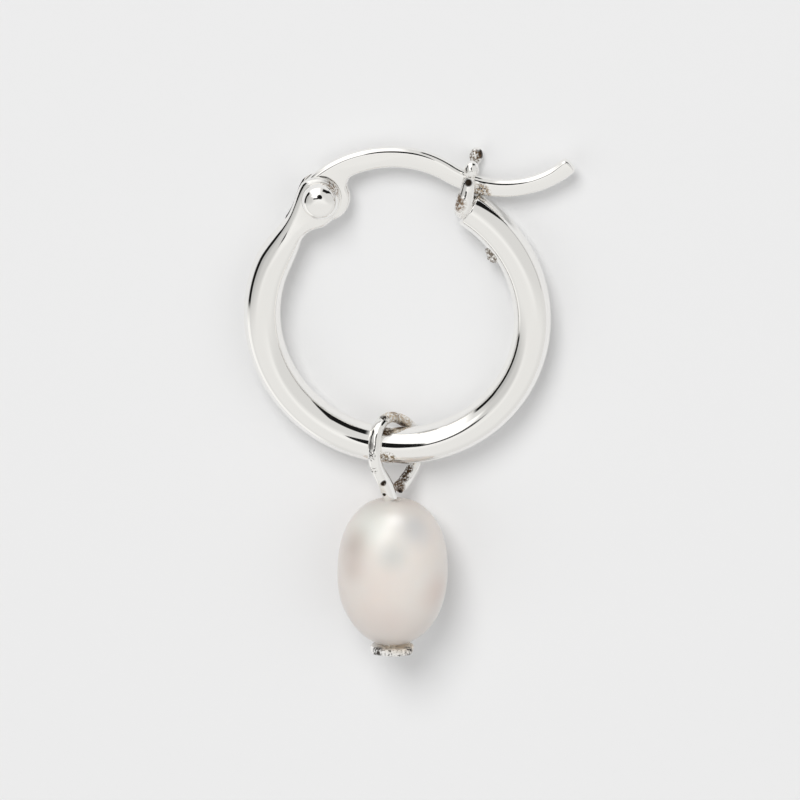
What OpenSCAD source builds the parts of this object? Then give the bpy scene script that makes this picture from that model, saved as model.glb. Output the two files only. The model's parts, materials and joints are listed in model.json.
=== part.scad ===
// Pearl dangle hoop earring, lying on a table.
// A round tube hoop ends in a two-cheeked fork, where a rivet carries the curved ear wire.
// The ear wire swings down between the two prongs of the catch at the tube's other end.
// A drilled pearl hangs from the hoop on a head pin, whose end is turned into a round loop.
// The hoop and the ear wire are drawn in the hoop's own plane and laid down together.
// The pearl and its head pin are drawn along one straight axis and laid down together.

/* [Hoop] */
// Diameter of the hoop, measured along the middle of its tube
hoop_d = 14.66; // [13.5:0.02:16]
// Diameter of the round tube
tube_d = 2.0; // [1.9:0.05:2.05]
// Angle of the tube's closed end beside the catch, from the right, in degrees
end_angle = 56.3; // [55:0.1:58]
// Angle of the neck where the tube becomes the fork, from the right, in degrees
neck_angle = 138; // [136:0.5:140]
// Width of the neck
neck_w = 1.55; // [1.4:0.05:1.6]

/* [Fork and rivet] */
// Distance of the rivet to the left of the hoop's middle
rivet_left = 4.10; // [4:0.05:4.2]
// Distance of the rivet above the hoop's middle
rivet_up = 6.80; // [6.7:0.05:6.9]
// Thickness over both cheeks
fork_t = 1.60; // [1.5:0.02:1.7]
// Radius of the round end of a cheek
cheek_r = 1.18; // [1.1:0.02:1.25]
// Diameter of the rivet's pin
pin_d = 0.90; // [0.8:0.05:1]
// Diameter of the rivet's domed heads
dome_d = 2.00; // [1.8:0.05:2.1]
// Height of the front head, nearly half a ball
front_dome_h = 0.90; // [0.6:0.05:0.95]
// Height of the flatter back head
back_dome_h = 0.42; // [0.35:0.01:0.45]

/* [Ear wire] */
// Thickness of the flat-sided ear wire, front to back
wire_t = 0.86; // [0.8:0.02:0.88]
// Radius of the arch over the ear hole, along the middle of the wire
crown_r = 5.94; // [5.9:0.02:6]
// Angle on the arch where the wire turns up towards its tip, in degrees
turn_angle = 60.3; // [59.5:0.1:61]
// Radius of the upward sweep to the tip
sweep_r = 6.10; // [6:0.05:6.2]
// Angle that the upward sweep covers, in degrees
sweep_angle = 65; // [60:1:66]
// Width of the wire at the root, beside the rivet
root_w = 1.12; // [1:0.02:1.2]
// Width of the wire where the arch turns into the sweep
turn_w = 1.00; // [0.9:0.02:1.1]
// Width of the wire at its tip
tip_w = 0.74; // [0.6:0.02:0.8]
// Radius of the round eye that turns on the rivet
eye_r = 1.28; // [1.2:0.02:1.3]

/* [Catch] */
// Diameter of a prong
prong_d = 0.70; // [0.6:0.02:0.72]
// Diameter of the ball on a prong's end
bead_d = 0.66; // [0.6:0.02:0.7]
// Gap between a prong and the ear wire
catch_gap = 0.05; // [0.04:0.01:0.06]

/* [Head pin] */
// Diameter of the head pin's wire
shank_d = 0.70; // [0.64:0.02:0.72]
// Radius of the turned loop, along the middle of its wire
loop_r = 1.82; // [1.8:0.01:1.9]
// Turn of the loop about the pearl's axis as it lies, in degrees
loop_roll = 56; // [55:0.5:60]
// Diameter of the flat head below the pearl
head_d = 2.30; // [2:0.05:2.5]
// Thickness of the flat head
head_t = 0.42; // [0.3:0.02:0.5]

/* [Pearl] */
// Greatest diameter of the pearl
pearl_d = 5.84; // [5.6:0.02:6]
// Length of the pearl along its drilled hole
pearl_l = 8.04; // [7.6:0.02:8.2]
// Distance from the middle of the loop to the pearl's widest place
drop_l = 6.65; // [6.5:0.05:6.8]
// Diameter of the drilled hole
drill_d = 0.84; // [0.8:0.02:0.9]

/* [Hidden] */
$fn = 64;

// Room between a pressed pin and its hole
snug = 0.01;
// Room round the pin in the turning eye
running = 0.05;
// Room on each side of the eye between the cheeks
cheek_gap = 0.05;
// Overlap of soldered shapes
weld = 0.05;

// Hoop
hoop_r = hoop_d / 2;
tube_r = tube_d / 2;
// How far the neck sits outside the tube's middle line
neck_out = 0.10;
neck_r = hoop_r + neck_out;
rivet_at = [-rivet_left, rivet_up];
// Radius of the die that presses the tube flat towards the fork
press_r = 10;
// Radius of the scallop on the inner side of the neck
scallop_r = 0.90;
// Solder lump on the inner side of the tube
lump_angle = 35.4;
lump_r = 0.50;
lump_proud = 0.24;

// Eye of the ear wire: its round outline sits a little off the rivet, towards the arm
eye_shift = [0.20, -0.06];
eye_reach = eye_r + norm(eye_shift);
slot_w = wire_t + 2 * cheek_gap;
// Room round the eye in the fork's slot
eye_room = 0.10;
slot_r = eye_reach + eye_room;

// Middle lines of the ear wire: an arch, then a sweep that bends the other way
crown_at = [-0.10, 3.10];
root_angle = 133;
sweep_at = crown_at + (crown_r + sweep_r) * [cos(turn_angle), sin(turn_angle)];
sweep_start = turn_angle + 180;
sweep_end = sweep_start + sweep_angle;
tip_at = sweep_at + sweep_r * [cos(sweep_end), sin(sweep_end)];
// Share of the sweep along which the wire gets thinner
taper_share = 0.625;
// Straight pieces that draw each bend, and the round of the tip
bend_steps = 20;
tip_steps = 10;

// Catch: foot, knee and ball of each prong
prong_r = prong_d / 2;
prong_z = wire_t / 2 + catch_gap + prong_r;
foot_at = [3.46, 6.34];
knee_at = [3.80, 7.60];
ball_at = [4.20, 8.82];
bead_r = bead_d / 2;
bead_z = wire_t / 2 + catch_gap + bead_r;
// How much thinner a prong is just below its ball
waist_in = 0.03;
// How far the round of a bend stands out from the wires that it joins
bend_out = 0.005;
// Solder collar between the tube's end and the catch, a little inside the tube's middle line
collar_r = 0.72;
collar_l = 0.62;
collar_taper = 0.20;
collar_in = 0.15;

// Head pin and pearl
shank_r = shank_d / 2;
// Opening of the turned loop beside its neck, in degrees
loop_open = 22;
pearl_r = pearl_d / 2;
// Share of the pearl's length above its widest place
top_share = 0.503;
pearl_top = pearl_l * top_share;
pearl_foot = pearl_l - pearl_top;
// The pearl is fuller than an ellipse above its widest place and slimmer below it
top_power = 2.25;
foot_power = 1.80;
// The foot's curve would close a little below the head, so the foot ends in a small flat
foot_stretch = 1.09;
foot_run = pearl_foot * foot_stretch;
// Straight pieces that draw the pearl's side
pearl_steps = 28;
// Gap between the pearl's foot and the flat head
head_gap = 0.12;

// How the earring lies: on the rivet's back dome, the loop's lowest limb and the pearl's side
dome_reach = fork_t / 2 + snug + back_dome_h;
lie_run = hoop_r + rivet_up;
// Rounded tilt of the drop, which the loop's height needs before the tilt itself is known
tilt_near = 10;
loop_lean = sqrt(1 - pow(cos(loop_roll) * cos(tilt_near), 2));
loop_z = loop_r * loop_lean + shank_r;
hoop_tilt = asin(loop_z / norm([lie_run, dome_reach])) - atan2(dome_reach, lie_run);
hoop_z = rivet_up * sin(hoop_tilt) + dome_reach * cos(hoop_tilt);
// Extra height of the pearl's widest place, because the tilted pearl rests on its fuller top
pearl_lift = 0.075;
pearl_z = pearl_r + pearl_lift;
drop_tilt = asin((pearl_z - loop_z) / drop_l);
// Slip of the loop along the tube to the left, and down from the tube's middle
slip_left = 0.12;
slip_down = 0.25;
// Place of the hoop's middle, so that the whole earring is centred on the origin
reach_up = (crown_at[1] + crown_r + root_w / 2) * cos(hoop_tilt);
reach_down = hoop_r * cos(hoop_tilt) + slip_down + head_d / 2 * sin(drop_tilt)
    + (drop_l + pearl_foot + head_gap + head_t) * cos(drop_tilt);
hoop_x = (hoop_r + tube_r - tip_at[0] - tip_w / 2) / 2;
hoop_y = (reach_down - reach_up) / 2;
loop_at = [hoop_x - slip_left, hoop_y - hoop_r * cos(hoop_tilt) - slip_down, loop_z];

function polar(r, a) = [r * cos(a), r * sin(a)];

// Point on the ear wire's edge: t runs from 0 to 1 along a bend, side is 1 above and -1 below
function crown_width(t) = root_w + (turn_w - root_w) * t;
function crown_point(t, side) =
    crown_at + polar(crown_r + side * crown_width(t) / 2, root_angle + (turn_angle - root_angle) * t);
function sweep_width(t) = turn_w + (tip_w - turn_w) * min(1, t / taper_share);
function sweep_point(t, side) =
    sweep_at + polar(sweep_r - side * sweep_width(t) / 2, sweep_start + sweep_angle * t);
function wire_edge(side) = concat(
    [for (i = [0 : bend_steps - 1]) crown_point(i / bend_steps, side)],
    [for (i = [0 : bend_steps]) sweep_point(i / bend_steps, side)]);
// Half circle round the wire's tip, from its upper edge to its lower edge
function round_tip() = [for (i = [1 : tip_steps - 1])
    tip_at + polar(tip_w / 2, sweep_end + 180 * (1 - i / tip_steps))];
function reversed(list) = [for (i = [len(list) - 1 : -1 : 0]) list[i]];

// Half width of the pearl at a height above its widest place
function pearl_width(u) = u > 0
    ? pearl_r * pow(1 - pow(u / pearl_top, top_power), 1 / top_power)
    : pearl_r * pow(1 - pow(-u / foot_run, foot_power), 1 / foot_power);
// Heights are closer together near the pearl's top, where it rounds over
function pearl_height(i) = pearl_top - (pearl_top + pearl_foot) * (1 - cos(90 * (1 - i / pearl_steps)));

module lay_hoop() {
    translate([hoop_x, hoop_y, hoop_z]) rotate([-hoop_tilt, 0, 0]) children();
}

module lay_drop() {
    translate(loop_at) rotate([-drop_tilt, 0, 0]) rotate([0, loop_roll, 0]) children();
}

// Flat drop-shaped outline of the fork, from the neck to the round ends of the cheeks
module fork_outline() {
    neck_at = polar(neck_r, neck_angle);
    run = rivet_at - neck_at;
    dir = atan2(run[1], run[0]);
    turn = 90 + asin((cheek_r - neck_w / 2) / norm(run));
    cheek_end = [for (i = [0 : bend_steps])
        rivet_at + polar(cheek_r, dir - turn + 2 * turn * i / bend_steps)];
    neck_end = [for (i = [0 : bend_steps])
        neck_at + polar(neck_w / 2, dir + turn + (360 - 2 * turn) * i / bend_steps)];
    polygon(concat(cheek_end, neck_end));
}

module tube() {
    difference() {
        rotate([0, 0, neck_angle])
            rotate_extrude(angle = 360 + end_angle - neck_angle) translate([hoop_r, 0]) circle(r = tube_r);
        for (side = [-1, 1])
            rotate([0, 0, neck_angle]) translate([hoop_r, 0, side * (fork_t / 2 + press_r)])
                rotate([0, 90, 0]) cylinder(r = press_r, h = 2 * tube_d, center = true, $fn = 128);
        translate(concat(polar(neck_r - neck_w / 2 - scallop_r, neck_angle), 0))
            cylinder(r = scallop_r, h = 2 * tube_d, center = true);
    }
}

module fork() {
    difference() {
        linear_extrude(height = fork_t, center = true) fork_outline();
        translate(concat(rivet_at, 0)) cylinder(r = slot_r, h = slot_w, center = true);
        translate(concat(rivet_at, 0)) cylinder(d = pin_d + 2 * snug, h = 2 * fork_t, center = true);
    }
}

// Round wire from one point to another, with a ball at its far end
module prong_piece(from, to, z, r) {
    run = to - from;
    translate([from[0], from[1], z]) rotate([0, 90, atan2(run[1], run[0])])
        cylinder(r = r, h = norm(run));
    translate([to[0], to[1], z]) sphere(r = r + bend_out);
}

module catch() {
    for (side = [-1, 1]) {
        prong_piece(foot_at, knee_at, side * prong_z, prong_r);
        prong_piece(knee_at, ball_at, side * (prong_z + bead_z) / 2, bead_r - waist_in);
        translate([ball_at[0], ball_at[1], side * bead_z]) sphere(r = bead_r);
        translate([foot_at[0], foot_at[1], side * prong_z]) sphere(r = prong_r + bend_out);
    }
    translate([foot_at[0], foot_at[1], 0]) cylinder(r = prong_r, h = 2 * prong_z, center = true);
    rotate([0, 0, end_angle]) translate([hoop_r - collar_in, -weld, 0]) rotate([-90, 0, 0])
        cylinder(r1 = collar_r, r2 = collar_r - collar_taper, h = collar_l);
}

module solder_lump() {
    translate(concat(polar(hoop_r - tube_r + lump_r - lump_proud, lump_angle), 0)) sphere(r = lump_r);
}

module hoop() {
    color("silver") lay_hoop() {
        tube();
        fork();
        catch();
        solder_lump();
    }
}

module ear_wire() {
    color("gainsboro") lay_hoop() difference() {
        union() {
            linear_extrude(height = wire_t, center = true)
                polygon(concat(wire_edge(1), round_tip(), reversed(wire_edge(-1))));
            translate(concat(rivet_at + eye_shift, 0)) cylinder(r = eye_r, h = wire_t, center = true);
        }
        translate(concat(rivet_at, 0)) cylinder(d = pin_d + 2 * running, h = 2 * wire_t, center = true);
    }
}

// Spherical cap of a domed head, cut from a ball
module dome(height) {
    ball = (pow(dome_d / 2, 2) + pow(height, 2)) / (2 * height);
    intersection() {
        translate([0, 0, height - ball]) sphere(r = ball, $fn = 128);
        cylinder(d = dome_d, h = height);
    }
}

module rivet() {
    color("whitesmoke") lay_hoop() translate(concat(rivet_at, 0)) {
        cylinder(d = pin_d, h = fork_t + 2 * snug, center = true);
        translate([0, 0, fork_t / 2 + snug]) dome(front_dome_h);
        mirror([0, 0, 1]) translate([0, 0, fork_t / 2 + snug]) dome(back_dome_h);
    }
}

module head_pin() {
    shank_top = -loop_r;
    head_top = -drop_l - pearl_foot - head_gap;
    color("silver") lay_drop() {
        rotate([0, 0, loop_open - 90])
            rotate_extrude(angle = 360 - loop_open) translate([loop_r, 0]) circle(r = shank_r);
        translate([0, head_top - head_t / 2, 0]) rotate([-90, 0, 0])
            cylinder(r = shank_r, h = shank_top - head_top + head_t / 2);
        translate([0, head_top - head_t, 0]) rotate([-90, 0, 0]) cylinder(d = head_d, h = head_t);
    }
}

module pearl() {
    side = [for (i = [0 : pearl_steps]) [pearl_width(pearl_height(i)), pearl_height(i)]];
    color("mistyrose") lay_drop() translate([0, -drop_l, 0]) rotate([-90, 0, 0]) difference() {
        rotate_extrude($fn = 96) polygon(concat([[0, -pearl_foot]], side, [[0, pearl_top]]));
        cylinder(d = drill_d, h = 3 * pearl_l, center = true);
    }
}

hoop();
ear_wire();
rivet();
head_pin();
pearl();
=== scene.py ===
# %% [markdown]
# # A pearl dangle hoop earring, lying on a table
# The real earring is a ring of round tube. One end of the tube is pressed into a fork that holds the
# ear wire on a rivet, and the other end carries a small catch. A pearl hangs on a head pin whose end is
# turned into a loop. Polished metal mirrors everything round it, so small errors in a surface show as
# kinks in the reflections. That is why every piece here is worked out with a formula on a fine grid.
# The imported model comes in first, because it says where each piece lies.
# %% The frame
import json
import math

import bmesh
import bpy
import numpy as np
from mathutils import Matrix, Vector


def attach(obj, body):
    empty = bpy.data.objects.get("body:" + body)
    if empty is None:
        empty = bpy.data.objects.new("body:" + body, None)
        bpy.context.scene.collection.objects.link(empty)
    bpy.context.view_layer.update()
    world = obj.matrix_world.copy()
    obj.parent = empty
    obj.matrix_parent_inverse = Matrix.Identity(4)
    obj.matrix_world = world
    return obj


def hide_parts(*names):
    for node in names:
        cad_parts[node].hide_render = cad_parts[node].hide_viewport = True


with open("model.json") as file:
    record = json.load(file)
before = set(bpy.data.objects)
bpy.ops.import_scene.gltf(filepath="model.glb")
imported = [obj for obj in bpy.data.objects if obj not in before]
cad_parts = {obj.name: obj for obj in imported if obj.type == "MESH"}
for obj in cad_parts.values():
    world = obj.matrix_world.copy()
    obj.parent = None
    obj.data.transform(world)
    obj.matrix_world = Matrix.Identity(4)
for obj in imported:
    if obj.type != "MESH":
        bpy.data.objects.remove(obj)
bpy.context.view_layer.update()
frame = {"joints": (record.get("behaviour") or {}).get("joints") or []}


# %% [markdown]
# ## Two drawing frames
# The hoop and its fittings are drawn flat, with the middle of the hoop at zero, and then laid down
# together, tilted a little because the pearl's loop lifts one side. The pearl and its pin are drawn along
# one straight axis, with the middle of the loop at zero. Both frames are in millimetres, because numbers
# near one are easy to read, and each piece is turned into metres when it is put in its place.
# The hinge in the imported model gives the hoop's place and tilt, so nothing is measured twice.
# %% Where the hoop lies
MM = 0.001
hoop_r = 7.33
tube_r = 1.0
rivet_at = np.array([-4.10, 6.80])

hinge = frame["joints"][0]
hoop_tilt = math.atan2(hinge["axis"][1], hinge["axis"][2])
lay = Matrix.Rotation(-hoop_tilt, 4, "X")
hoop_middle = Vector(hinge["pos_m"]) / MM - lay @ Vector((*rivet_at, 0))
hoop_place = Matrix.Scale(MM, 4) @ Matrix.Translation(hoop_middle) @ lay
print("hoop's middle", [round(x, 3) for x in hoop_middle], "mm, tilt", round(math.degrees(hoop_tilt), 2))

# %% Where the pearl and its pin lie
wire_r = 0.35
loop_r = 1.82
loop_roll = math.radians(56)
pearl_r = 2.92
pearl_l = 8.04
drop_l = 6.65
tilt_near = math.radians(10)
pearl_lift = 0.075
slip = (0.12, 0.25)

loop_high = loop_r * math.sqrt(1 - (math.cos(loop_roll) * math.cos(tilt_near)) ** 2) + wire_r
drop_tilt = math.asin((pearl_r + pearl_lift - loop_high) / drop_l)
loop_middle = Vector((
    hoop_middle.x - slip[0],
    hoop_middle.y - hoop_r * math.cos(hoop_tilt) - slip[1],
    loop_high,
))
drop_place = (
    Matrix.Scale(MM, 4)
    @ Matrix.Translation(loop_middle)
    @ Matrix.Rotation(-drop_tilt, 4, "X")
    @ Matrix.Rotation(loop_roll, 4, "Y")
)
print("loop's middle", [round(x, 3) for x in loop_middle], "mm, tilt", round(math.degrees(drop_tilt), 2))

# %% [markdown]
# ## From formulas to meshes
# Every piece is a grid: rows of points, with the same number of points in each row, joined into
# four-sided faces. A row that shrinks to one point closes the shape like the end of a balloon. The
# shapes could also be pushed and pulled by hand, but a formula keeps a mirror free of small bumps.
# One tool joins a grid into a mesh, one draws smooth values through a few chosen ones, one spins a
# profile, one carries a circle along a path, one adds soft waves and one cuts a piece with another.
# %% Joining a grid into a mesh
merge_gap = 1e-4


def skin(name, grid, wrap_rows=False, caps=False):
    """A mesh from a grid of points: rows, places round each row, and x, y, z.
    Point (i, j) is joined to (i, j + 1), (i + 1, j + 1) and (i + 1, j), and the last place to the first."""
    rows, ring = grid.shape[:2]
    row = np.arange(rows if wrap_rows else rows - 1)[:, None]
    place = np.arange(ring)[None, :]
    after = (row + 1) % rows
    beside = (place + 1) % ring
    corners = (row * ring + place, row * ring + beside, after * ring + beside, after * ring + place)
    faces = np.stack(np.broadcast_arrays(*corners), -1).reshape(-1, 4).tolist()
    if caps:
        faces += [list(range(ring)), list(range((rows - 1) * ring, rows * ring))]
    mesh = bpy.data.meshes.new(name)
    mesh.from_pydata(grid.reshape(-1, 3).tolist(), [], faces)
    shape = bmesh.new()
    shape.from_mesh(mesh)
    bmesh.ops.remove_doubles(shape, verts=shape.verts, dist=merge_gap)
    bmesh.ops.recalc_face_normals(shape, faces=shape.faces)
    shape.to_mesh(mesh)
    shape.free()
    piece = bpy.data.objects.new(name, mesh)
    bpy.context.scene.collection.objects.link(piece)
    return piece


# %% Smooth values through chosen ones
def distances(points):
    """How far along a path each of its points lies: the running sum of the steps between them."""
    steps = np.linalg.norm(np.diff(points, axis=0), axis=1)
    return np.concatenate([[0], np.cumsum(steps)])


def unit(ways):
    """Directions with each one's length made 1."""
    return ways / np.linalg.norm(ways, axis=1, keepdims=True)


def flow(stations, values, at):
    """Values between stations, on cubic pieces whose slope at each station is that of its neighbours.
    With t from 0 to 1 between two stations, the ends are weighed by (1 + 2t)(1 - t)^2 and t^2(3 - 2t)."""
    stations = np.asarray(stations, float)
    values = np.asarray(values, float)
    at = np.clip(at, stations[0], stations[-1])
    slopes = np.gradient(values, stations, axis=0)
    i = np.clip(np.searchsorted(stations, at, side="right") - 1, 0, len(stations) - 2)
    run = stations[i + 1] - stations[i]
    t = (at - stations[i]) / run
    if values.ndim > 1:
        run, t = run[:, None], t[:, None]
    start = (1 + 2 * t) * (1 - t) ** 2 * values[i] + t * (1 - t) ** 2 * run * slopes[i]
    end = t**2 * (3 - 2 * t) * values[i + 1] + t**2 * (t - 1) * run * slopes[i + 1]
    return start + end


def through(points, count):
    """A smooth path through a few points, with count points spread evenly by the straight distances."""
    reach = distances(points)
    return flow(reach, points, np.linspace(0, reach[-1], count))


# %% Spinning a profile, and carrying a circle along a path
def spin(profile, ring=96):
    """Points of a profile (radius, height) turned about the height's axis: (r cos a, r sin a, h)."""
    turn = 2 * np.pi * np.arange(ring) / ring
    radius, height = np.asarray(profile, float).T
    return np.stack([
        radius[:, None] * np.cos(turn),
        radius[:, None] * np.sin(turn),
        height[:, None] + 0 * turn,
    ], -1)


def carry(path, radii, side, ring=40):
    """A circle carried along a path: path + r (cos a * side + sin a * other), where side is squared to
    the path's direction and other is square to both."""
    path = np.asarray(path, float)
    along = unit(np.gradient(path, axis=0))
    side = unit(side - along * (along @ np.asarray(side, float))[:, None])
    other = np.cross(along, side)
    turn = 2 * np.pi * np.arange(ring) / ring
    radii = np.broadcast_to(np.asarray(radii, float).T, (len(path),))[:, None, None]
    return (
        path[:, None]
        + radii * np.cos(turn)[None, :, None] * side[:, None]
        + radii * np.sin(turn)[None, :, None] * other[:, None]
    )


def ripple(points, wavelength, seed):
    """Soft random waves, about -1 to 1: the mean of sines that run in seeded random directions."""
    draw = np.random.default_rng(seed)
    ways = draw.normal(size=(12, 3))
    ways *= 2 * np.pi / wavelength / np.linalg.norm(ways, axis=1, keepdims=True)
    return np.sin(points @ ways.T + draw.uniform(0, 2 * np.pi, 12)).mean(-1) * 2.5


# %% Cutting one piece with another
def cut(piece, cutter):
    """Takes the cutter's shape out of the piece and puts the result into the piece's own mesh."""
    step = piece.modifiers.new("cut", "BOOLEAN")
    step.operation = "DIFFERENCE"
    step.solver = "EXACT"
    step.object = cutter
    depsgraph = bpy.context.evaluated_depsgraph_get()
    finished = bpy.data.meshes.new_from_object(piece.evaluated_get(depsgraph))
    piece.modifiers.clear()
    piece.data = finished
    bpy.data.objects.remove(cutter)


def round_bar(radius, low, high, at):
    """A plain round bar that stands on the drawing plane, used as a cutter."""
    grid = spin([(0, low), (radius, low), (radius, high), (0, high)], 128)
    return skin("cutter", grid + np.array([*at, 0]))


# %% [markdown]
# ## Finishes
# Silver plate is a mirror with a faint warm tint, so its base colour is nearly white, it is fully
# metallic and its roughness is very low. Where metal was soldered, cut or bent with pliers it keeps
# scale, dents and brown stains. They could be painted on by hand. Here they are noise that is kept
# only near chosen places, which stays sharp in close views. A few of these places paint shade and
# dark reflections on the silver instead. It is one node group: silver uses it for stains, dents and
# that painted shade and reflection, and the pearl for its soft tones and a painted tint of its highlight.
# %% The group for wear and painted light
def new_group(name, inputs, outputs):
    """An empty shader node group with named inputs and outputs."""
    group = bpy.data.node_groups.new(name, "ShaderNodeTree")
    for label, kind, value in inputs:
        socket = group.interface.new_socket(label, in_out="INPUT", socket_type=kind)
        socket.default_value = value
    for label, kind in outputs:
        group.interface.new_socket(label, in_out="OUTPUT", socket_type=kind)
    return group, group.nodes.new("NodeGroupInput"), group.nodes.new("NodeGroupOutput")


def feed(tree, socket, value):
    """Links another node's output to an input, or sets the input to a plain value."""
    if isinstance(value, bpy.types.NodeSocket):
        tree.links.new(value, socket)
    else:
        socket.default_value = value


def add(tree, kind, settings=(), **values):
    """Adds a node, with its settings first and then its named inputs, as values or as other outputs."""
    node = tree.nodes.new(kind)
    for label, value in dict(settings).items():
        setattr(node, label, value)
    for label, value in values.items():
        feed(tree, node.inputs[label.replace("_", " ")], value)
    return node


def calc(tree, operation, *values, kind="ShaderNodeMath"):
    """Adds one step of arithmetic on values or other outputs, and gives back its result."""
    node = add(tree, kind, {"operation": operation})
    for socket, value in zip(node.inputs, values):
        feed(tree, socket, value)
    return node.outputs["Value" if operation in ("DISTANCE", "LENGTH") else 0]


def blend(tree, kind, factor, a, b):
    """Adds a mix from a to b by a factor, of kind FLOAT or RGBA, and gives back its result."""
    return add(tree, "ShaderNodeMix", {"data_type": kind}, Factor=factor, A=a, B=b).outputs["Result"]


smooth = {"interpolation_type": "SMOOTHSTEP"}
speckle_edge = 0.12


def wear_and_painted_light_group():
    """Speckles, dents and soft patches near one place, for wear and for painted light: noise, kept only
    where the distance to the place is small. The mask is whole up to the core's share of the reach and fades
    to nothing at the reach."""
    group, source, result = new_group(
        "wear and painted light",
        [
            ("Place", "NodeSocketVector", (0, 0, 0)),
            ("Reach", "NodeSocketFloat", 0.001),
            ("Grain", "NodeSocketFloat", 4000.0),
            ("Amount", "NodeSocketFloat", 0.5),
            ("Core", "NodeSocketFloat", 0.6),
        ],
        [("Mask", "NodeSocketFloat"), ("Height", "NodeSocketFloat")],
    )
    given = source.outputs
    spot = add(group, "ShaderNodeTexCoord").outputs["Object"]
    away = calc(group, "DISTANCE", spot, given["Place"], kind="ShaderNodeVectorMath")
    near = calc(group, "DIVIDE", away, given["Reach"])
    fade = add(group, "ShaderNodeMapRange", smooth, Value=near, From_Min=1.0, From_Max=given["Core"])
    noise = add(group, "ShaderNodeTexNoise", Vector=spot, Scale=given["Grain"], Detail=4.0, Roughness=0.65)
    share = calc(group, "SUBTRACT", 1.0, given["Amount"])
    full = calc(group, "ADD", share, speckle_edge)
    pick = add(group, "ShaderNodeMapRange", smooth, Value=noise.outputs["Fac"], From_Min=share, From_Max=full)
    mask = calc(group, "MULTIPLY", pick.outputs["Result"], fade.outputs["Result"])
    height = calc(group, "MULTIPLY", noise.outputs["Fac"], fade.outputs["Result"])
    group.links.new(mask, result.inputs["Mask"])
    group.links.new(height, result.inputs["Height"])
    return group


wear_and_painted_light = wear_and_painted_light_group()
print("wear and painted light group nodes:", len(wear_and_painted_light.nodes))


# %% Silver finishes
plate = (0.94, 0.93, 0.908)
brown = (0.26, 0.17, 0.10)
# Near black, for black specks and for one painted dark reflection
soot_and_dark_reflection = (0.03, 0.022, 0.016)
wear_and_light_roughness = 0.32


def silver(name, place, roughness, wear_and_light_marks, metallic=1.0):
    """Polished silver plate with worn places and a few places of painted shade and reflection, for a
    piece drawn in the frame that a place matrix lays down. Each place: where, reach, grain, amount, colour
    and depth, in the frame's millimetres."""
    material = bpy.data.materials.new(name)
    material.use_nodes = True
    tree = material.node_tree
    shader = tree.nodes["Principled BSDF"]
    shader.inputs["Metallic"].default_value = metallic
    spot = add(tree, "ShaderNodeTexCoord").outputs["Object"]
    haze = add(tree, "ShaderNodeTexNoise", Vector=spot, Scale=900.0, Detail=3.0)
    gloss = add(
        tree, "ShaderNodeMapRange", Value=haze.outputs["Fac"],
        To_Min=roughness * 0.7, To_Max=roughness * 1.3,
    )
    tint = add(tree, "ShaderNodeRGB")
    tint.outputs[0].default_value = (*plate, 1)
    colour_out, rough_out, normal_out = tint.outputs[0], gloss.outputs["Result"], None
    for where, reach, grain, amount, stain_and_painted_light, depth in wear_and_light_marks:
        wear_and_light_node = add(
            tree, "ShaderNodeGroup", {"node_tree": wear_and_painted_light},
            Place=place @ Vector(where), Reach=reach * MM, Grain=grain, Amount=amount,
        )
        colour_out = blend(tree, "RGBA", wear_and_light_node.outputs["Mask"], colour_out, (*stain_and_painted_light, 1))
        rough_out = blend(tree, "FLOAT", wear_and_light_node.outputs["Mask"], rough_out, wear_and_light_roughness)
        dents = add(tree, "ShaderNodeBump", Height=wear_and_light_node.outputs["Height"], Distance=depth * MM, Strength=1.0)
        if normal_out is not None:
            tree.links.new(normal_out, dents.inputs["Normal"])
        normal_out = dents.outputs["Normal"]
    feed(tree, shader.inputs["Base Color"], colour_out)
    feed(tree, shader.inputs["Roughness"], rough_out)
    feed(tree, shader.inputs["Normal"], normal_out)
    return material


tube_silver = silver(
    "polished tube silver", hoop_place, 0.05,
    [
        # Dark brown on the tube's inner side inside the loop
        ((-0.52, -6.38, 0.40), 0.44, 9000, 0.64, (0.10, 0.065, 0.035), 0.02),
        # Olive brown low on the tube by the pin's limb: painted reflection of the dirty pin and painted
        # shadow
        ((-0.45, -7.86, 0.80), 0.58, 9000, 0.56, (0.26, 0.19, 0.11), 0.02),
        ((-4.00, 7.82, 0.80), 0.85, 500, 1.0, (0.85, 0.84, 0.82), 0.01),
        ((-3.30, 7.55, 0.80), 0.60, 8000, 0.52, brown, 0.02),
    ],
)
wire_silver = silver(
    "polished wire silver", hoop_place, 0.05,
    [
        ((4.48, 7.12, 0.32), 0.70, 7500, 0.56, (0.44, 0.33, 0.22), 0.04),
        ((4.44, 7.04, 0.32), 0.66, 11000, 0.50, soot_and_dark_reflection, 0.04),
    ],
)
rivet_silver = silver(
    "polished rivet silver", hoop_place, 0.05,
    [
        ((-3.80, 7.75, 0.78), 0.50, 8000, 0.50, brown, 0.02),
        ((-3.28, 7.35, 0.78), 0.60, 8000, 0.52, brown, 0.02),
    ],
)
catch_silver = silver(
    "soldered catch silver", hoop_place, 0.08,
    [
        ((3.42, 6.85, 0.95), 0.60, 7500, 0.60, brown, 0.05),
        ((3.70, 6.30, 0.60), 0.70, 9000, 0.44, brown, 0.06),
        # Black under the front ball: painted dark reflection
        ((3.92, 8.00, 1.15), 0.26, 500, 1.0, soot_and_dark_reflection, 0.01),
        ((4.10, 8.38, 1.10), 0.42, 8000, 0.42, (0.30, 0.25, 0.18), 0.04),
        ((4.52, 9.12, -0.55), 0.32, 500, 1.0, soot_and_dark_reflection, 0.01),
        ((4.12, 9.00, -0.40), 0.50, 9500, 0.55, (0.14, 0.09, 0.05), 0.04),
        ((5.20, 3.70, 0.30), 0.90, 7500, 0.55, (0.26, 0.22, 0.18), 0.08),
    ],
)
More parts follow.
